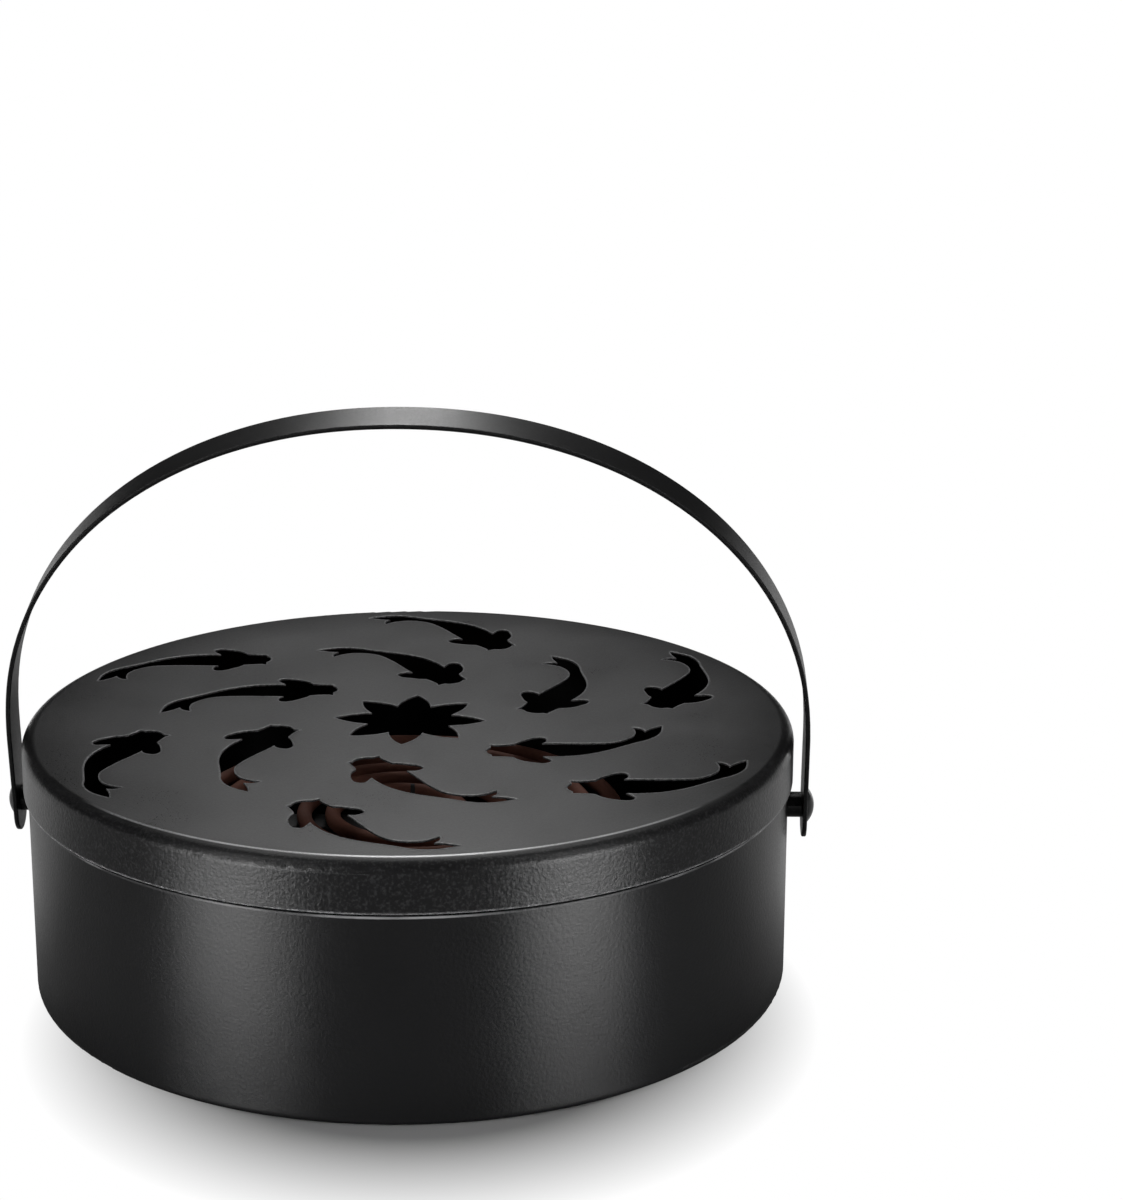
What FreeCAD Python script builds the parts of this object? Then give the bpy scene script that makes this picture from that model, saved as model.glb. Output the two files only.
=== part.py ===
import FreeCAD, Part
import math
import os

os.makedirs("parts", exist_ok=True)

# A round sheet-metal box for burning a mosquito coil: a drawn base, a pierced
# lift-off lid, a strap handle on two rivets, and a stand that carries the coil.
# All lengths are in millimetres. The origin is the middle of the underside,
# +X runs along the handle's pivot line, -Y is the front and +Z is up.

# Box, lid and base
box_height = 50.8            # table to lid top
lid_sheet = 0.35             # coated steel sheet
base_sheet = 0.6
edge_round = 0.15            # coating rounds every raw sheet edge by this much
lid_radius = 75.0            # outside of the skirt
lid_skirt = 10.0             # lid top to the skirt's lower edge
lid_corner = 2.5             # outer rounding between lid top and skirt
lid_gap = 0.55               # skirt to base wall, all round
base_corner = 1.5            # outer rounding between base wall and floor
rim_turn = 1.9               # outer rounding of the base's turned-in rim
rim_flat = 0.9               # level part of the rim, on which the lid rests

# Pattern pierced in the lid: two rings of koi round a lotus
koi_length = 36.0            # tail tip to nose
koi_per_ring = 6
koi_outer_ring = 56.8        # radius to the middle of each koi
koi_inner_ring = 34.2
koi_outer_start = 28.0       # degrees round from +X to the first koi
koi_inner_start = 42.0
koi_heading = -123.5         # degrees from the outward radius to the nose
lotus_petals = 8
lotus_tip_radius = 14.8
lotus_valley_radius = 8.5    # to the notch between two petals
lotus_start = -2.4           # degrees round from +X to the first petal
petal_bulge_share = 0.1      # how far a petal's edge bows out, of its length

# Handle strap
strap_width = 9.2
strap_thick = 0.9
strap_gap = 2.0              # lid skirt to the strap's inner face
strap_leg = 16.0             # straight part above the pivot
arch_fullness = 2.1          # exponent of the arch's curve; 2 would be an ellipse
arch_steps = 18              # points along the arch's curve
leg_steps = 5                # points along each leg
strap_tip = 6.6              # below the pivot
strap_edge = 0.25            # rounding of the strap's long edges
crown_gap = 4.0              # swinging strap to the lid's front edge
pivot_below_skirt = 7.0      # skirt's lower edge down to the pivot
handle_lean = 9.0            # degrees that the handle stands tipped to the front

# Rivets and spacers
rivet_head_diameter = 7.0
rivet_head_height = 1.4
rivet_shank_diameter = 3.0
rivet_tail_diameter = 5.4    # the head set inside the wall
rivet_tail_height = 0.9
spacer_diameter = 5.0
running_gap = 0.05           # shank to bore, all round
side_play = 0.1              # strap to rivet head and to spacer

# Coil stand, a four-armed stamping spot-welded to the floor
stand_sheet = 0.8
stand_height = 28.8          # floor to the top of the arms
stand_reach = 41.0           # middle to the outside of a leg
stand_foot = 7.0             # leg to the end of a foot
stand_bend = 1.0             # inside of each bend
arm_width = 7.0
hub_radius = 11.0
spike_height = 8.0
spike_width = 3.0
spike_slot_gap = 0.4         # round the spike's blank in the hub

# Mosquito coil
stick_width = 3.1            # thickness of the round stick
coil_pitch = 5.6             # one turn to the next
coil_half_turns = 13
coil_inner_half_turns = 2    # the opening stretch, which unwinds faster
coil_inner_radius = 5.0
coil_inner_pitch = 10.4      # the same in the opening stretch
coil_rest_gap = 0.3          # stick to the stand's arms

# One overrun serves every cut
over = 2.0

# Places and sizes that follow from the ones above
lid_underside = box_height - lid_sheet
base_radius = lid_radius - lid_sheet - lid_gap
base_inner_radius = base_radius - base_sheet
rim_radius = base_radius - rim_turn - rim_flat
pivot_height = box_height - lid_skirt - pivot_below_skirt
strap_inner = lid_radius + strap_gap
strap_outer = strap_inner + strap_thick
crown_inner = math.hypot(lid_radius, box_height - pivot_height) + crown_gap
rivet_bore_radius = rivet_shank_diameter / 2 + running_gap
stand_top = base_sheet + stand_height
coil_centre_height = stand_top + coil_rest_gap + stick_width / 2

UP = FreeCAD.Vector(0, 0, 1)
ACROSS = FreeCAD.Vector(1, 0, 0)
ORIGIN = FreeCAD.Vector(0, 0, 0)

# The koi seen from above in shares of its length, nose towards +X. Each
# stroke is one smooth edge; strokes meet at the outline's sharp corners.
koi_stroke_shares = [
    [(-0.515, -0.01), (-0.491, 0.038), (-0.451, 0.099), (-0.385, 0.15), (-0.33, 0.172), (-0.282, 0.181)],
    [(-0.282, 0.181), (-0.18, 0.21), (-0.073, 0.239), (0.053, 0.251), (0.163, 0.234), (0.27, 0.191)],
    [(0.27, 0.191), (0.26, 0.231), (0.259, 0.278), (0.29, 0.292), (0.344, 0.265), (0.388, 0.22), (0.417, 0.143)],
    [(0.417, 0.143), (0.452, 0.119), (0.492, 0.098)],
    [(0.492, 0.098), (0.517, 0.087)],
    [(0.517, 0.087), (0.507, 0.064)],
    [(0.507, 0.064), (0.516, 0.023), (0.503, -0.017), (0.467, -0.047)],
    [(0.467, -0.047), (0.453, -0.09)],
    [(0.453, -0.09), (0.433, -0.069)],
    [(0.433, -0.069), (0.382, -0.054), (0.331, -0.045)],
    [(0.331, -0.045), (0.294, -0.069), (0.25, -0.084), (0.195, -0.098), (0.15, -0.078), (0.148, -0.051), (0.194, 0.0)],
    [(0.194, 0.0), (0.1, 0.04), (0.0, 0.086), (-0.083, 0.116), (-0.158, 0.134), (-0.228, 0.124), (-0.298, 0.087)],
    [(-0.298, 0.087), (-0.333, 0.045), (-0.35, 0.0), (-0.357, -0.045)],
    [(-0.357, -0.045), (-0.389, -0.006), (-0.391, 0.039)],
    [(-0.391, 0.039), (-0.427, 0.018), (-0.466, 0.002), (-0.515, -0.01)],
]


def rounded_face(corners):
    """Flat face in the XZ plane; each corner is (x, z, rounding radius)."""
    edges = []
    joints = []
    count = len(corners)
    for index, (x, z, rounding) in enumerate(corners):
        here = FreeCAD.Vector(x, 0, z)
        before = corners[index - 1]
        after = corners[(index + 1) % count]
        back = (FreeCAD.Vector(before[0], 0, before[1]) - here).normalize()
        on = (FreeCAD.Vector(after[0], 0, after[1]) - here).normalize()
        if rounding == 0:
            joints.append((here, here))
            continue
        half = back.getAngle(on) / 2
        reach = rounding / math.tan(half)
        to_arc = rounding / math.sin(half) - rounding
        start = here + back * reach
        end = here + on * reach
        middle = here + (back + on).normalize() * to_arc
        edges.append(Part.Arc(start, middle, end).toShape())
        joints.append((start, end))
    for index in range(count):
        leave = joints[index][1]
        arrive = joints[(index + 1) % count][0]
        edges.append(Part.LineSegment(leave, arrive).toShape())
    return Part.Face(Part.Wire(Part.sortEdges(edges)[0]))


def turned(corners):
    """Solid of revolution about the Z axis."""
    return rounded_face(corners).revolve(ORIGIN, UP, 360)


def rod(radius, x_start, x_end, height):
    """Round bar along X at a height above the table."""
    low = FreeCAD.Vector(min(x_start, x_end), 0, height)
    return Part.makeCylinder(radius, abs(x_end - x_start), low, ACROSS)


def smooth_edge(points):
    """One edge through the points: a line, or a curve where there are more than two."""
    if len(points) == 2:
        return Part.LineSegment(points[0], points[1]).toShape()
    curve = Part.BSplineCurve()
    curve.interpolate(points)
    return curve.toShape()


def make_base_cup():
    rim_under = lid_underside - base_sheet
    cup = turned([
        (0, 0, 0),
        (base_radius, 0, base_corner),
        (base_radius, lid_underside, rim_turn),
        (rim_radius, lid_underside, edge_round),
        (rim_radius, rim_under, edge_round),
        (base_inner_radius, rim_under, rim_turn - base_sheet),
        (base_inner_radius, base_sheet, base_corner - base_sheet),
        (0, base_sheet, 0),
    ])
    pivot_bore = rod(rivet_bore_radius, -lid_radius, lid_radius, pivot_height)
    return cup.cut(pivot_bore)


def koi_tool():
    """Prism of one koi about its own middle, standing through the lid's sheet."""
    edges = []
    for stroke in koi_stroke_shares:
        points = [FreeCAD.Vector(along * koi_length, aside * koi_length, 0) for along, aside in stroke]
        edges.append(smooth_edge(points))
    outline = Part.Face(Part.Wire(edges))
    tool = outline.extrude(UP * (lid_sheet + 2 * over))
    tool.translate(UP * (lid_underside - over))
    return tool


def koi_ring(radius, start):
    """One ring of koi. A koi keeps its sector's heading in both rings."""
    step = 360 / koi_per_ring
    ring = []
    for sector in range(koi_per_ring):
        around = math.radians(start + sector * step)
        tool = koi_tool()
        tool.rotate(ORIGIN, UP, koi_outer_start + sector * step + koi_heading)
        tool.translate(FreeCAD.Vector(radius * math.cos(around), radius * math.sin(around), 0))
        ring.append(tool)
    return ring


def lotus_tool():
    """Prism of the eight-petalled lotus at the middle of the lid."""
    def polar(radius, degrees):
        angle = math.radians(degrees)
        return FreeCAD.Vector(radius * math.cos(angle), radius * math.sin(angle), 0)

    step = 360 / lotus_petals
    bow = petal_bulge_share * (lotus_tip_radius - lotus_valley_radius)
    edges = []
    for petal in range(lotus_petals):
        middle = lotus_start + petal * step
        tip = polar(lotus_tip_radius, middle)
        for valley_angle in (middle - step / 2, middle + step / 2):
            valley = polar(lotus_valley_radius, valley_angle)
            outward = (tip - valley).normalize().cross(UP)
            if valley_angle > middle:
                outward = outward * -1
            halfway = (tip + valley) * 0.5 + outward * bow
            ends = (valley, tip) if valley_angle < middle else (tip, valley)
            edges.append(Part.Arc(ends[0], halfway, ends[1]).toShape())
    tool = Part.Face(Part.Wire(edges)).extrude(UP * (lid_sheet + 2 * over))
    tool.translate(UP * (lid_underside - over))
    return tool


def make_lid():
    skirt_edge = box_height - lid_skirt
    cap = turned([
        (0, box_height, 0),
        (lid_radius, box_height, lid_corner),
        (lid_radius, skirt_edge, edge_round),
        (lid_radius - lid_sheet, skirt_edge, edge_round),
        (lid_radius - lid_sheet, lid_underside, lid_corner - lid_sheet),
        (0, lid_underside, 0),
    ])
    tools = koi_ring(koi_outer_ring, koi_outer_start)
    tools += koi_ring(koi_inner_ring, koi_inner_start)
    tools.append(lotus_tool())
    return cap.cut(Part.makeCompound(tools))


def arch_edge(half_span, crown):
    """One smooth edge up the left leg, over a full-shouldered arch and down the right leg."""
    low = pivot_height - strap_tip
    spring = pivot_height + strap_leg
    rise = crown - strap_leg
    power = 2 / arch_fullness
    points = []
    for step in range(leg_steps):
        points.append((-half_span, low + (spring - low) * step / leg_steps))
    for step in range(arch_steps + 1):
        angle = math.pi * step / arch_steps
        side = -1 if angle < math.pi / 2 else 1
        across = abs(math.cos(angle)) ** power * half_span
        points.append((side * across, spring + rise * math.sin(angle) ** power))
    for step in range(leg_steps):
        points.append((half_span, spring + (low - spring) * (step + 1) / leg_steps))
    curve = Part.BSplineCurve()
    corners = [FreeCAD.Vector(x, 0, z) for x, z in points]
    curve.interpolate(Points=corners, InitialTangent=UP, FinalTangent=UP * -1)
    return curve.toShape()


def strap_side_outline():
    """The strap seen from the side: a width that ends in a half-round at the bottom."""
    half = strap_width / 2
    rise = pivot_height + crown_inner + over
    turn = pivot_height - strap_tip + half
    start = -strap_outer - over
    low_left = FreeCAD.Vector(start, -half, turn)
    low_right = FreeCAD.Vector(start, half, turn)
    high_left = FreeCAD.Vector(start, -half, rise)
    high_right = FreeCAD.Vector(start, half, rise)
    bottom = FreeCAD.Vector(start, 0, turn - half)
    outline = Part.Wire([
        Part.LineSegment(low_right, high_right).toShape(),
        Part.LineSegment(high_right, high_left).toShape(),
        Part.LineSegment(high_left, low_left).toShape(),
        Part.Arc(low_left, bottom, low_right).toShape(),
    ])
    return Part.Face(outline).extrude(ACROSS * (2 * (strap_outer + over)))


def make_handle_strap():
    inner = arch_edge(strap_inner, crown_inner)
    outer = arch_edge(strap_outer, crown_inner + strap_thick)
    left_end = Part.LineSegment(inner.Vertexes[0].Point, outer.Vertexes[0].Point).toShape()
    right_end = Part.LineSegment(inner.Vertexes[1].Point, outer.Vertexes[1].Point).toShape()
    outline = Part.Wire(Part.sortEdges([inner, left_end, outer, right_end])[0])
    arch = Part.Face(outline).extrude(FreeCAD.Vector(0, strap_width, 0))
    arch.translate(FreeCAD.Vector(0, -strap_width / 2, 0))
    strap = arch.common(strap_side_outline())
    long_edges = [edge for edge in strap.Edges if edge.BoundBox.ZLength > strap_thick]
    strap = strap.makeFillet(strap_edge, long_edges)
    strap = strap.cut(rod(rivet_bore_radius, -strap_outer - over, strap_outer + over, pivot_height))
    strap.rotate(FreeCAD.Vector(0, 0, pivot_height), ACROSS, handle_lean)
    return strap


def make_rivet(side):
    """Domed head outside the strap, shank through strap, spacer and wall, and a set tail."""
    head_seat = strap_outer + side_play
    head_radius = rivet_head_diameter / 2
    ball_radius = (head_radius ** 2 + rivet_head_height ** 2) / (2 * rivet_head_height)
    ball_centre = FreeCAD.Vector(head_seat + rivet_head_height - ball_radius, 0, pivot_height)
    head = Part.makeSphere(ball_radius, ball_centre)
    head = head.common(rod(head_radius, head_seat, head_seat + rivet_head_height, pivot_height))
    inside = base_inner_radius - rivet_tail_height
    shank = rod(rivet_shank_diameter / 2, inside, head_seat + rivet_head_height / 2, pivot_height)
    tail = rod(rivet_tail_diameter / 2, inside, base_radius, pivot_height)
    tail = tail.common(Part.makeCylinder(base_inner_radius, box_height))
    rivet = head.fuse([shank, tail]).removeSplitter()
    if side < 0:
        rivet = rivet.mirror(ORIGIN, ACROSS)
    return rivet


def make_spacer(side):
    """Tube that holds the strap off the wall. Its inner end is shaped to the wall."""
    start = base_radius - over
    end = strap_inner - side_play
    tube = rod(spacer_diameter / 2, start, end, pivot_height)
    tube = tube.cut(rod(rivet_bore_radius, start - over, end + over, pivot_height))
    tube = tube.cut(Part.makeCylinder(base_radius, box_height))
    if side < 0:
        tube = tube.mirror(ORIGIN, ACROSS)
    return tube


def stand_strip():
    """One bent strip across the stand, feet, legs and arm, along X."""
    top = stand_top
    under = stand_top - stand_sheet
    foot_top = base_sheet + stand_sheet
    tight = stand_bend
    wide = stand_bend + stand_sheet
    leg_in = stand_reach - stand_sheet
    foot_end = stand_reach + stand_foot
    right = [
        (stand_reach, top, wide),
        (stand_reach, foot_top, tight),
        (foot_end, foot_top, 0),
        (foot_end, base_sheet, 0),
        (leg_in, base_sheet, wide),
        (leg_in, under, tight),
    ]
    left = [(-x, z, rounding) for x, z, rounding in reversed(right)]
    strip = rounded_face(right + left).extrude(FreeCAD.Vector(0, arm_width, 0))
    strip.translate(FreeCAD.Vector(0, -arm_width / 2, 0))
    return strip


def make_coil_stand():
    """Two crossed strips, a round hub, and a pointed spike bent up out of the hub."""
    along = stand_strip()
    aside = stand_strip()
    aside.rotate(ORIGIN, UP, 90)
    under = FreeCAD.Vector(0, 0, stand_top - stand_sheet)
    hub = Part.makeCylinder(hub_radius, stand_sheet, under)
    stand = along.fuse([aside, hub]).removeSplitter()

    half = spike_width / 2
    shoulder = stand_top + spike_height - spike_width
    outline = [
        FreeCAD.Vector(0, -half, stand_top - stand_sheet),
        FreeCAD.Vector(0, half, stand_top - stand_sheet),
        FreeCAD.Vector(0, half, shoulder),
        FreeCAD.Vector(0, 0, stand_top + spike_height),
        FreeCAD.Vector(0, -half, shoulder),
    ]
    spike = Part.Face(Part.makePolygon(outline + outline[:1])).extrude(ACROSS * stand_sheet)
    slot_length = stand_sheet + spike_height + spike_slot_gap
    slot_width = spike_width + 2 * spike_slot_gap
    slot_corner = FreeCAD.Vector(0, -slot_width / 2, stand_top - stand_sheet - over)
    slot = Part.makeBox(slot_length, slot_width, stand_sheet + 2 * over, slot_corner)
    return stand.cut(slot).fuse(spike).removeSplitter()


def coil_crossings():
    """Distances from the coil's middle at which its stick crosses the X line."""
    radii = [coil_inner_radius]
    for half_turn in range(coil_half_turns):
        pitch = coil_inner_pitch if half_turn < coil_inner_half_turns else coil_pitch
        radii.append(radii[-1] + pitch / 2)
    return radii


def coil_arcs():
    """Half circles from one crossing to the next, all meeting square to the X line."""
    radii = coil_crossings()
    arcs = []
    for half_turn in range(coil_half_turns):
        side = -1 if half_turn % 2 == 0 else 1
        start = side * radii[half_turn]
        end = -side * radii[half_turn + 1]
        middle = (start + end) / 2
        bend = abs(end - start) / 2
        arcs.append((start, end, middle, bend, side))
    return arcs


def print_coil_gap(arcs):
    """Least space between the stick and itself, measured on points along its middle."""
    steps = 90
    points = []
    length = 0
    for start, end, middle, bend, side in arcs:
        for step in range(steps):
            angle = math.pi * step / steps
            x = middle + side * bend * math.cos(angle)
            y = side * bend * math.sin(angle)
            points.append((x, y, length + bend * angle))
        length += math.pi * bend
    apart = 2 * stick_width
    least = min(
        math.hypot(a[0] - b[0], a[1] - b[1])
        for index, a in enumerate(points)
        for b in points[index + 1:]
        if b[2] - a[2] > apart
    )
    print("coil: length", round(length, 1), "least gap to itself", round(least - stick_width, 2))
    print("coil: tightest bend", round(min(arc[3] for arc in arcs), 2))


def make_mosquito_coil():
    arcs = coil_arcs()
    print_coil_gap(arcs)
    edges = []
    for start, end, middle, bend, side in arcs:
        first = FreeCAD.Vector(start, 0, coil_centre_height)
        half = FreeCAD.Vector(middle, side * bend, coil_centre_height)
        last = FreeCAD.Vector(end, 0, coil_centre_height)
        edges.append(Part.Arc(first, half, last).toShape())
    path = Part.Wire(edges)
    begin = FreeCAD.Vector(arcs[0][0], 0, coil_centre_height)
    section = Part.Wire(Part.makeCircle(stick_width / 2, begin, FreeCAD.Vector(0, 1, 0)))
    return path.makePipeShell([section], True, False)


pieces = {
    "base_cup": make_base_cup(),
    "lid": make_lid(),
    "handle_strap": make_handle_strap(),
    "rivet_left": make_rivet(-1),
    "rivet_right": make_rivet(1),
    "spacer_left": make_spacer(-1),
    "spacer_right": make_spacer(1),
    "coil_stand": make_coil_stand(),
    "mosquito_coil": make_mosquito_coil(),
}

for name, shape in pieces.items():
    shape.exportStep("parts/" + name + ".step")
    box = shape.BoundBox
    print(
        name, "valid", shape.isValid(), "solids", len(shape.Solids), "volume", round(shape.Volume, 1),
        "x", round(box.XMin, 2), round(box.XMax, 2), "y", round(box.YMin, 2), round(box.YMax, 2),
        "z", round(box.ZMin, 2), round(box.ZMax, 2),
    )
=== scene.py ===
import math

import bmesh
import bpy
from mathutils import Euler, Matrix, Vector, noise


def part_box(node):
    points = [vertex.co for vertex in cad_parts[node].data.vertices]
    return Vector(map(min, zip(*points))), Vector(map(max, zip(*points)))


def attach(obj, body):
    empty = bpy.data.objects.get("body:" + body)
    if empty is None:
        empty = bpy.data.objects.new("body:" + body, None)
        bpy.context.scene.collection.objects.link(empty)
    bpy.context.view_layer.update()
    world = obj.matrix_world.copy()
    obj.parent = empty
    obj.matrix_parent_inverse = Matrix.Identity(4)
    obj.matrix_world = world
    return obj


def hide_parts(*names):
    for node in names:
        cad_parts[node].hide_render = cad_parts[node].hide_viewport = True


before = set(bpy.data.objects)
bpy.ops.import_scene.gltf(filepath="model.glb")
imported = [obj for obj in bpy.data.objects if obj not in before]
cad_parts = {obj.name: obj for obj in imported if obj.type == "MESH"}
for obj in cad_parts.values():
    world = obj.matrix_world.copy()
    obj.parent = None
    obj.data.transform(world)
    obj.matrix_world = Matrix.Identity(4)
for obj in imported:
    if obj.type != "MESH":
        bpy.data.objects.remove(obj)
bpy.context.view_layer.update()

lid_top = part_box("lid")[1].z
lid_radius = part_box("lid")[1].x
skirt_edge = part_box("lid")[0].z
base_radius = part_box("base_cup")[1].x


# Materials

coat_black = (0.005, 0.005, 0.0054)
shoulder_radius = lid_radius - 0.0023      # where the lid's flat top turns over
wall_middle_radius = base_radius - 0.0003  # between the two faces of the base's wall
skirt_shade_height = skirt_edge - 0.0005          # painted shade: a dark line just under the skirt's edge
highlight_line_height = skirt_edge - 0.0009           # the painted highlight line, under it


def new_material(name):
    material = bpy.data.materials.new(name)
    material.use_nodes = True
    material.node_tree.nodes.clear()
    return material


class Nodes:
    """Short calls for building the nodes of one material or world."""

    def __init__(self, material):
        self.tree = material.node_tree

    def add(self, kind, **values):
        node = self.tree.nodes.new(kind)
        for key, value in values.items():
            setattr(node, key, value)
        return node

    def link(self, source, target):
        self.tree.links.new(source, target)

    def coordinates(self):
        return self.add("ShaderNodeTexCoord").outputs["Object"]

    def surface(self, kind):
        """A shader that is linked to the material's output."""
        shader = self.add(kind)
        output = self.add("ShaderNodeOutputMaterial")
        self.link(shader.outputs[0], output.inputs["Surface"])
        return shader

    def noise(self, vector, scale, detail, roughness):
        node = self.add("ShaderNodeTexNoise")
        node.inputs["Scale"].default_value = scale
        node.inputs["Detail"].default_value = detail
        node.inputs["Roughness"].default_value = roughness
        self.link(vector, node.inputs["Vector"])
        return node.outputs["Fac"]

    def map(self, value, from_low, from_high, to_low, to_high):
        node = self.add("ShaderNodeMapRange")
        node.inputs["From Min"].default_value = from_low
        node.inputs["From Max"].default_value = from_high
        node.inputs["To Min"].default_value = to_low
        node.inputs["To Max"].default_value = to_high
        self.link(value, node.inputs["Value"])
        return node.outputs["Result"]

    def math(self, operation, first, second=0):
        node = self.add("ShaderNodeMath", operation=operation)
        for socket, value in zip(node.inputs, (first, second)):
            if isinstance(value, (int, float)):
                socket.default_value = value
            else:
                self.link(value, socket)
        return node.outputs[0]

    def times(self, first, second):
        return self.math("MULTIPLY", first, second)

    def larger(self, first, second):
        return self.math("MAXIMUM", first, second)

    def distance_from(self, value, place):
        return self.math("ABSOLUTE", self.math("SUBTRACT", value, place))

    def split(self, vector):
        node = self.add("ShaderNodeSeparateXYZ")
        self.link(vector, node.inputs[0])
        return node.outputs

    def length(self, vector):
        node = self.add("ShaderNodeVectorMath", operation="LENGTH")
        self.link(vector, node.inputs[0])
        return node.outputs["Value"]

    def mix_colour(self, factor, first, second):
        node = self.add("ShaderNodeMix", data_type="RGBA")
        self.link(factor, node.inputs["Factor"])
        for name, value in (("A", first), ("B", second)):
            socket = [s for s in node.inputs if s.name == name and s.type == "RGBA"][0]
            if isinstance(value, tuple):
                socket.default_value = (*value, 1)
            else:
                self.link(value, socket)
        return [s for s in node.outputs if s.type == "RGBA"][0]

    def shades(self, factor, colour, darkest, lightest):
        """A colour that drifts between a darker and a lighter shade of itself."""
        low = tuple(c * darkest for c in colour)
        high = tuple(c * lightest for c in colour)
        return self.mix_colour(self.map(factor, 0.3, 0.7, 0, 1), low, high)

    def bump(self, height, strength, distance, normal=None):
        node = self.add("ShaderNodeBump")
        node.inputs["Strength"].default_value = strength
        node.inputs["Distance"].default_value = distance
        self.link(height, node.inputs["Height"])
        if normal is not None:
            self.link(normal, node.inputs["Normal"])
        return node.outputs["Normal"]


def rounded_normal(n, radius):
    """The surface's normal, rounded over at its edges."""
    bevel = n.add("ShaderNodeBevel", samples=6)
    bevel.inputs["Radius"].default_value = radius
    return bevel.outputs["Normal"]


def edge_mask(n, rounded, normal):
    """1 on the edges that the rounded normal turns over, 0 on flat ground."""
    dot = n.add("ShaderNodeVectorMath", operation="DOT_PRODUCT")
    n.link(rounded, dot.inputs[0])
    n.link(normal, dot.inputs[1])
    return n.map(dot.outputs["Value"], 0.992, 0.86, 0, 1)


def painted_crevice_shade(n):
    """Painted shade: 1 deep in a crevice, 0 in the open, from ambient occlusion."""
    shade = n.add("ShaderNodeAmbientOcclusion", samples=6)
    shade.inputs["Distance"].default_value = 0.0015
    return n.map(shade.outputs["AO"], 0.88, 0.55, 0, 1)


def lid_painted_light(n, place, out, level, broad):
    """Painted shade, where the sheen is lowered near the rim at the sides and back, and a painted
    highlight line at the shoulder's front.
    """
    near_rim = n.map(out, shoulder_radius - 0.0125, shoulder_radius - 0.001, 0, 0.5)
    painted_shade = n.times(near_rim, n.map(place["Y"], -0.055, -0.035, 0, 1))
    painted_shade = n.times(painted_shade, n.map(level, 0.9, 0.98, 0, 1))
    # Painted highlight: a thin light line along the shoulder, at the front only.
    line = n.map(n.distance_from(out, shoulder_radius), 0.00012, 0.0004, 1, 0)
    line = n.times(line, n.map(broad, 0.4, 0.6, 0.5, 1))
    line = n.times(line, n.map(place["Y"], -0.046, -0.06, 0, 1))
    return painted_shade, n.times(line, n.map(level, 0.8, 0.9, 0, 1))


def wall_painted_light(n, place, out, level, broad):
    """Painted shade, where the sheen is lowered in a dark line under the lid's skirt, and a broken
    painted highlight line under that. The mask keeps both off the wall's inner face."""
    outside = n.map(out, wall_middle_radius - 0.0001, wall_middle_radius + 0.0001, 0, 1)
    # Painted shade just under the skirt's edge; below it, a broken painted highlight line.
    skirt_shade = n.map(n.distance_from(place["Z"], skirt_shade_height), 0.00022, 0.0003, 1, 0)
    line = n.map(n.distance_from(place["Z"], highlight_line_height), 0.0001, 0.0003, 1, 0)
    line = n.times(line, n.map(broad, 0.45, 0.6, 0.1, 0.8))
    return n.times(skirt_shade, outside), n.times(line, outside)


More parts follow.
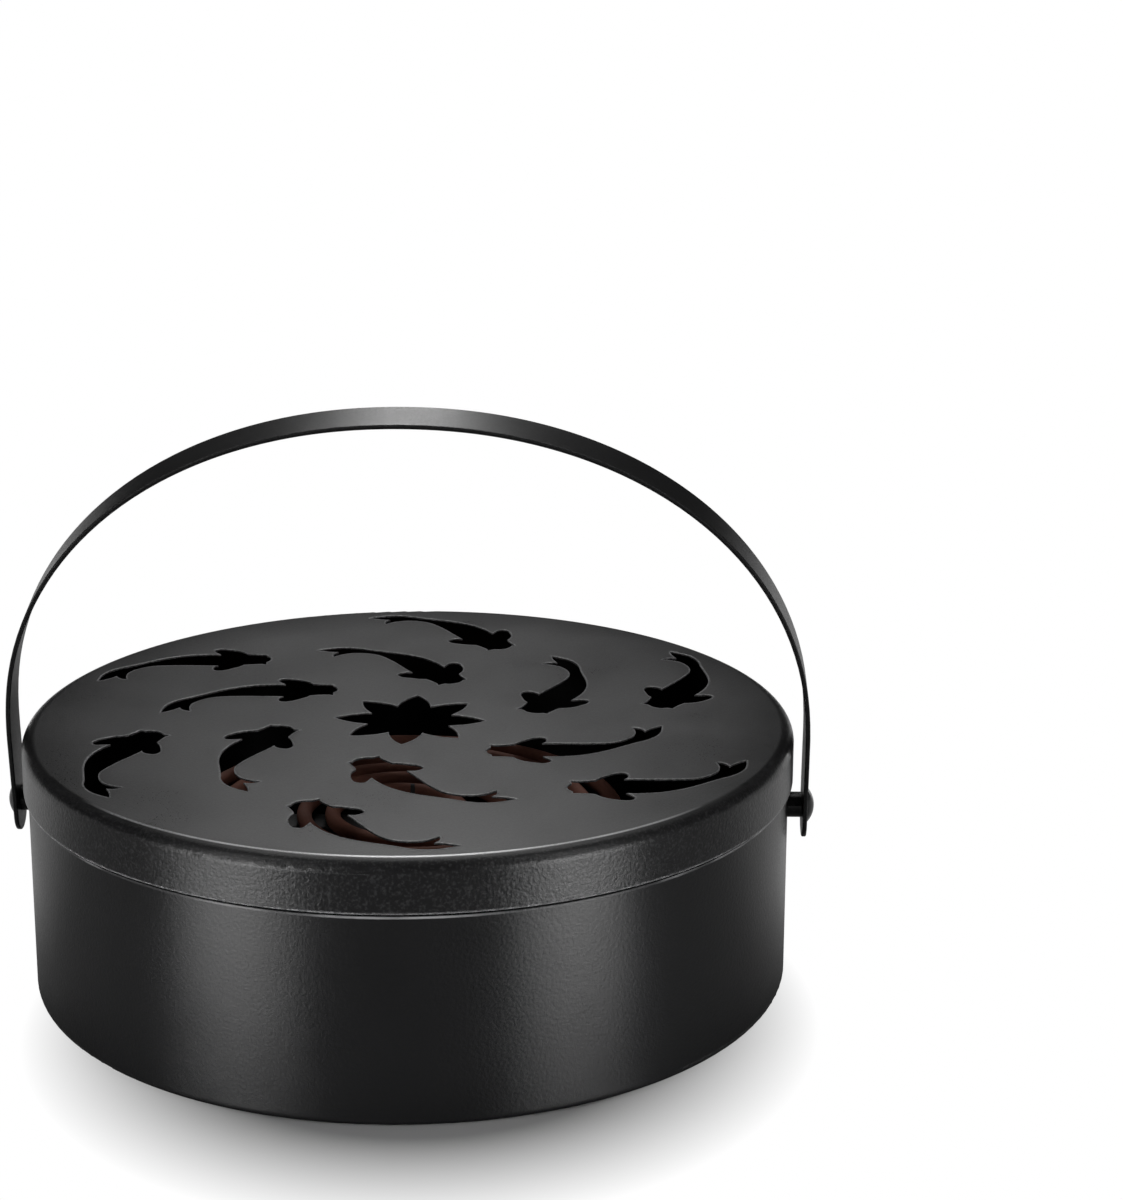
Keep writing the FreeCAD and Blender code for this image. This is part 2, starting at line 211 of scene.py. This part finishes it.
def coated_metal(name, base, wear_and_highlight, roughness, grain_and_glints, specular, drawn=0.0, edge_width=0.0007, painted_light=None):
    """Black powder coat: fine-grained, softly uneven, with light edges of the given width that are
    in part rubbed-off coat and in part painted highlight. Pale painted glints speckle the steep
    faces, and painted shade lowers the sheen in crevices. Drawn walls stretch their highlights
    upright. An optional function adds painted shade, where the sheen is lowered, and a painted
    highlight line of its own."""
    material = new_material(name)
    n = Nodes(material)
    coordinates = n.coordinates()
    shader = n.surface("ShaderNodeBsdfPrincipled")

    fine = n.noise(coordinates, 3200, 2, 0.6)
    middle = n.noise(coordinates, 1500, 2, 0.55)
    glint_specks = n.noise(coordinates, 1900, 1, 0.5)
    broad = n.noise(coordinates, 45, 3, 0.5)

    normal = n.add("ShaderNodeNewGeometry").outputs["Normal"]
    rounded = rounded_normal(n, edge_width)
    level = n.math("ABSOLUTE", n.split(normal)["Z"])
    place = n.split(coordinates)
    squares = [n.math("POWER", place[axis], 2) for axis in ("X", "Y")]
    out = n.math("SQRT", n.math("ADD", *squares))

    # Light edges, in part rubbed-off coat and in part painted highlight.
    wear_and_highlight_mask = n.times(edge_mask(n, rounded, normal), n.map(middle, 0.35, 0.65, 0.35, 1))
    # Painted shade: the sheen is lowered in crevices.
    shine = n.map(painted_crevice_shade(n), 0, 1, specular, 0.02)
    # Painted shade lowers the sheen further; painted highlight lines join the light edges.
    if painted_light:
        painted_shade, line = painted_light(n, place, out, level, broad)
        shine = n.times(shine, n.math("SUBTRACT", 1, painted_shade))
        wear_and_highlight_mask = n.larger(wear_and_highlight_mask, line)
    n.link(shine, shader.inputs["Specular IOR Level"])

    grit_and_glints = n.map(level, 0.8, 0.99, 1, 0.1)
    tone = n.shades(broad, base, 0.85, 1.15)
    # Painted glints: pale specks on the steep faces stand in for the coat's glitter.
    painted_glints = n.times(n.map(glint_specks, 0.5, 0.7, 0, 0.035 * (grain_and_glints - 1)), grit_and_glints)
    tone = n.mix_colour(painted_glints, tone, wear_and_highlight)
    n.link(n.mix_colour(wear_and_highlight_mask, tone, wear_and_highlight), shader.inputs["Base Color"])

    rough = n.map(broad, 0.3, 0.7, roughness - 0.03, roughness + 0.03)
    rough = n.math("ADD", n.map(fine, 0.3, 0.7, -0.05, 0.05), rough)
    rough = n.math("SUBTRACT", rough, n.times(wear_and_highlight_mask, 0.1))
    n.link(rough, shader.inputs["Roughness"])

    if drawn:
        tangent = n.add("ShaderNodeTangent", direction_type="RADIAL", axis="Z")
        n.link(tangent.outputs[0], shader.inputs["Tangent"])
        shader.inputs["Anisotropic Rotation"].default_value = 0.25
        n.link(n.map(level, 0.2, 0.7, drawn, 0), shader.inputs["Anisotropic"])

    orange_peel = n.bump(n.times(middle, grit_and_glints), 0.7 * grain_and_glints, 0.00005, rounded)
    n.link(n.bump(fine, 0.5 * grain_and_glints, 0.00002, orange_peel), shader.inputs["Normal"])
    return material


def smooth_black(name, base, roughness):
    """Black lacquer with a faint unevenness."""
    material = new_material(name)
    n = Nodes(material)
    coordinates = n.coordinates()
    shader = n.surface("ShaderNodeBsdfPrincipled")
    shader.inputs["Specular IOR Level"].default_value = 0.25
    fine = n.noise(coordinates, 1800, 2, 0.6)
    broad = n.noise(coordinates, 250, 3, 0.5)
    n.link(n.shades(broad, base, 0.8, 1.3), shader.inputs["Base Color"])
    rough = n.map(broad, 0.3, 0.7, roughness - 0.05, roughness + 0.08)
    n.link(rough, shader.inputs["Roughness"])
    n.link(n.bump(fine, 0.3, 0.00001), shader.inputs["Normal"])
    return material


def pressed_paste(name):
    """Matte reddish brown wood paste with fibres, pores and pale dust."""
    material = new_material(name)
    n = Nodes(material)
    coordinates = n.coordinates()
    shader = n.surface("ShaderNodeBsdfPrincipled")
    shader.inputs["Specular IOR Level"].default_value = 0.35
    speck = n.noise(coordinates, 2600, 3, 0.65)
    fibre = n.noise(coordinates, 900, 4, 0.6)
    broad = n.noise(coordinates, 60, 3, 0.5)
    dark, light = (0.16, 0.062, 0.042), (0.22, 0.09, 0.06)
    pale_dust, pore = (0.28, 0.14, 0.095), (0.1, 0.04, 0.026)
    tone = n.mix_colour(n.map(broad, 0.3, 0.7, 0, 1), dark, light)
    tone = n.mix_colour(n.map(fibre, 0.55, 0.75, 0, 0.5), tone, pale_dust)
    tone = n.mix_colour(n.map(speck, 0.6, 0.75, 0, 0.6), tone, pore)
    n.link(tone, shader.inputs["Base Color"])
    n.link(n.map(fibre, 0.3, 0.7, 0.75, 0.92), shader.inputs["Roughness"])
    fibres = n.bump(fibre, 0.5, 0.00008)
    n.link(n.bump(speck, 0.5, 0.00004, fibres), shader.inputs["Normal"])
    return material


# The light edge colour of each coat is in part rubbed-off coat and in part painted highlight; the
# strap's pale grey edges are mostly painted highlight.
lid_coat = coated_metal(
    "lid_coat", coat_black, wear_and_highlight=(0.55, 0.55, 0.56), roughness=0.34, grain_and_glints=1.9,
    specular=0.36, drawn=0.8, painted_light=lid_painted_light)
base_coat = coated_metal(
    "base_coat", coat_black, wear_and_highlight=(0.3, 0.3, 0.306), roughness=0.36, grain_and_glints=1.1,
    specular=0.36, drawn=0.8, painted_light=wall_painted_light)
strap_coat = coated_metal(
    "strap_coat", coat_black, wear_and_highlight=(0.8, 0.8, 0.81), roughness=0.38, grain_and_glints=0.6,
    specular=0.3, edge_width=0.0003)
stand_coat = coated_metal(
    "stand_coat", (0.012, 0.012, 0.0125), wear_and_highlight=(0.04, 0.04, 0.042), roughness=0.6, grain_and_glints=1.0,
    specular=0.3)
rivet_lacquer = smooth_black("rivet_lacquer", (0.004, 0.004, 0.0043), 0.24)
coil_paste = pressed_paste("coil_paste")

node_materials = {
    "base_cup": base_coat,
    "lid": lid_coat,
    "handle_strap": strap_coat,
    "rivet_left": rivet_lacquer,
    "rivet_right": rivet_lacquer,
    "spacer_left": rivet_lacquer,
    "spacer_right": rivet_lacquer,
    "coil_stand": stand_coat,
}
for name, material in node_materials.items():
    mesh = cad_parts[name].data
    mesh.materials.clear()
    mesh.materials.append(material)


# Mosquito coil

stick_radius = 0.00155
stick_sink = 0.00004         # the uneven surface lies this much inside the stick on average
unevenness = ((700, 0.00004), (160, 0.00005))  # noise per metre, height of its waves
coil_height = (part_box("mosquito_coil")[0].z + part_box("mosquito_coil")[1].z) / 2
half_turns = 13
inner_crossings = [0.005, 0.0102, 0.0154]  # where the path meets the X line, from the middle
half_pitch = 0.0028          # between the crossings after those
path_step = 0.0009
ring_points = 16
tip_share = 0.75             # the end face's share of the stick's width


def coil_path():
    """Points along the coil's middle: half circles that meet square to the X line."""
    crossings = list(inner_crossings)
    while len(crossings) <= half_turns:
        crossings.append(crossings[-1] + half_pitch)
    points = []
    for half_turn in range(half_turns):
        side = -1 if half_turn % 2 == 0 else 1
        start = side * crossings[half_turn]
        end = -side * crossings[half_turn + 1]
        middle = (start + end) / 2
        bend = abs(end - start) / 2
        count = max(8, round(math.pi * bend / path_step))
        for k in range(count):
            angle = math.pi * k / count
            across = side * bend * math.cos(angle)
            points.append(Vector((middle + across, side * bend * math.sin(angle), coil_height)))
    points.append(Vector((crossings[half_turns], 0, coil_height)))
    return points


def join_rings(mesh, first, second):
    for k in range(ring_points):
        following = (k + 1) % ring_points
        mesh.faces.new((first[k], first[following], second[following], second[k]))


def make_coil():
    """The wound stick, with an uneven pressed surface and blunt ends."""
    points = coil_path()
    mesh = bmesh.new()
    rings = []
    last = len(points) - 1
    for index, point in enumerate(points):
        ahead = points[min(index + 1, last)]
        behind = points[max(index - 1, 0)]
        along = (ahead - behind).normalized()
        aside = Vector((along.y, -along.x, 0))
        ring = []
        for k in range(ring_points):
            angle = 2 * math.pi * k / ring_points
            out = aside * math.cos(angle) + Vector((0, 0, 1)) * math.sin(angle)
            spot = point + out * stick_radius
            uneven = sum(noise.noise(spot * scale) * height for scale, height in unevenness)
            ring.append(mesh.verts.new(point + out * (stick_radius - stick_sink + uneven)))
        rings.append(ring)
    for first, second in zip(rings, rings[1:]):
        join_rings(mesh, first, second)
    for ring, tip in ((rings[0], points[0]), (rings[-1], points[-1])):
        inner = [mesh.verts.new(tip + (v.co - tip) * tip_share) for v in ring]
        join_rings(mesh, ring, inner)
        mesh.faces.new(inner)
    bmesh.ops.recalc_face_normals(mesh, faces=mesh.faces)
    data = bpy.data.meshes.new("coil_stick")
    mesh.to_mesh(data)
    mesh.free()
    for face in data.polygons:
        face.use_smooth = True
    data.materials.append(coil_paste)
    coil = bpy.data.objects.new("coil_stick", data)
    bpy.context.scene.collection.objects.link(coil)
    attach(coil, "coil")
    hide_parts("mosquito_coil")


make_coil()


# Floor, world and lights

white = (1, 1, 1, 1)
floor_grey = (0.36, 0.36, 0.36, 1)
floor_radius = 6


def make_floor():
    """Pale floor. Past the contact shadow it's a white background for the rays that see it."""
    material = new_material("studio_floor")
    n = Nodes(material)
    coordinates = n.coordinates()
    radius = n.length(coordinates)
    y = n.split(coordinates)["Y"]

    # The contact shadow shows inside an oval, a little narrower than deep, further to the front.
    outline = n.add("ShaderNodeVectorMath", operation="MULTIPLY_ADD")
    outline.inputs[1].default_value = (1.12, 1, 1)
    outline.inputs[2].default_value = (-0.004, 0.025, 0)
    n.link(coordinates, outline.inputs[0])
    past_shadow = n.map(n.length(outline.outputs[0]), 0.053, 0.085, 0, 1)

    path = n.add("ShaderNodeLightPath").outputs
    seen = n.times(path["Is Camera Ray"], past_shadow)
    behind = n.times(n.map(y, -0.01, 0.04, 0, 0.45), n.map(radius, 0.08, 0.1, 0, 1))
    far = n.map(radius, 0.25, 0.6, 0, 1)
    mirrored = n.larger(path["Is Glossy Ray"], path["Is Transmission Ray"])
    reflected = n.times(mirrored, n.larger(behind, far))

    diffuse = n.add("ShaderNodeBsdfDiffuse")
    diffuse.inputs["Color"].default_value = floor_grey
    background = n.add("ShaderNodeEmission")
    background.inputs["Color"].default_value = white
    background.inputs["Strength"].default_value = 1.0
    mixed = n.surface("ShaderNodeMixShader")
    n.link(n.larger(seen, reflected), mixed.inputs[0])
    n.link(diffuse.outputs[0], mixed.inputs[1])
    n.link(background.outputs[0], mixed.inputs[2])

    bpy.ops.mesh.primitive_circle_add(
        vertices=96, radius=floor_radius, fill_type="NGON", location=(0, 0, 0))
    floor = bpy.context.object
    floor.name = "floor"
    floor.data.materials.append(material)


def make_world():
    """Dim studio with a brighter ceiling, white to the camera."""
    world = bpy.data.worlds.new("studio")
    bpy.context.scene.world = world
    world.use_nodes = True
    world.node_tree.nodes.clear()
    n = Nodes(world)
    generated = n.add("ShaderNodeTexCoord").outputs["Generated"]
    ramp = n.add("ShaderNodeValToRGB")
    elements = ramp.color_ramp.elements
    walls, ceiling = ((0.0, 0.03), (0.25, 0.03)), ((0.6, 0.05), (0.9, 0.09))
    for element, (position, level) in zip(elements, walls):
        element.position = position
        element.color = (level, level, level, 1)
    for position, level in ceiling:
        elements.new(position).color = (level, level, level, 1)
    n.link(n.split(generated)["Z"], ramp.inputs[0])

    studio = n.add("ShaderNodeBackground")
    studio.inputs["Strength"].default_value = 1.0
    n.link(ramp.outputs[0], studio.inputs["Color"])
    backdrop = n.add("ShaderNodeBackground")
    backdrop.inputs["Color"].default_value = white
    mixed = n.add("ShaderNodeMixShader")
    n.link(n.add("ShaderNodeLightPath").outputs["Is Camera Ray"], mixed.inputs[0])
    n.link(studio.outputs[0], mixed.inputs[1])
    n.link(backdrop.outputs[0], mixed.inputs[2])
    n.link(mixed.outputs[0], n.add("ShaderNodeOutputWorld").inputs["Surface"])


def softbox(name, location, target, width, height, radiance, spread=180):
    """A softbox. Its power follows from its size and the radiance of its face."""
    data = bpy.data.lights.new(name, "AREA")
    data.shape = "RECTANGLE"
    data.size = width
    data.size_y = height
    data.energy = radiance * math.pi * width * height
    data.spread = math.radians(spread)
    lamp = bpy.data.objects.new(name, data)
    bpy.context.scene.collection.objects.link(lamp)
    lamp.location = location
    lamp.rotation_mode = "QUATERNION"
    lamp.rotation_quaternion = (location - target).to_track_quat("Z", "Y")
    lamp.visible_camera = False


def around(distance, azimuth, height):
    """A place round the object: azimuth 0 is the front, 90 the right, 180 the back."""
    a = math.radians(azimuth)
    return Vector((distance * math.sin(a), -distance * math.cos(a), height))


def aloft(distance, azimuth, elevation):
    """The same, by its elevation over the lid's middle."""
    e = math.radians(elevation)
    return around(distance * math.cos(e), azimuth, distance * math.sin(e) + lid_top)


def make_lights():
    """A large lamp overhead, a sheen from behind, and strips for the shoulder and the wall."""
    middle = Vector((0, 0, lid_top))
    for name, distance, azimuth, elevation, width, height, radiance in (
        ("key", 1.2, 180, 74, 1.1, 0.7, 1.9),
        ("rear", 1.5, 184, 41, 0.2, 0.36, 21.5),
        ("tall_left", 1.4, -49, 36, 0.26, 0.95, 3.0),
        ("tall_right", 1.4, 53, 36, 0.26, 0.95, 3.0),
    ):
        softbox(name, aloft(distance, azimuth, elevation), middle, width, height, radiance)
    strip_distance, strip_middle, strip_height, strip_spread = 0.19, 0.026, 0.05, 50
    for name, azimuth, facing, width, radiance in (
        ("strip_left", -36.5, -47, 0.105, 1.35),
        ("strip_right", 41.0, 50.5, 0.095, 1.35),
        ("strip_back_left", -143, -133, 0.09, 0.9),
        ("strip_back_right", 139, 129, 0.09, 0.9),
    ):
        place = around(strip_distance, azimuth, strip_middle)
        target = place - around(0.1, facing, 0)
        softbox(name, place, target, width, strip_height, radiance, strip_spread)


make_floor()
make_world()
make_lights()


# Camera

def make_camera():
    """The view of the photograph: place, tilt, turn and roll as fitted to its outline."""
    data = bpy.data.cameras.new("camera")
    data.sensor_width = 36
    data.lens = 88.85
    camera = bpy.data.objects.new("camera", data)
    bpy.context.scene.collection.objects.link(camera)
    camera.location = (0.03903, -0.54792, 0.23920)
    turn = Euler((math.radians(73.356), 0, math.radians(0.986))).to_matrix()
    roll = Matrix.Rotation(math.radians(0.179), 3, "Z")
    camera.rotation_euler = (turn @ roll).to_euler()
    bpy.context.scene.camera = camera


make_camera()
bpy.context.scene.view_settings.view_transform = "Standard"
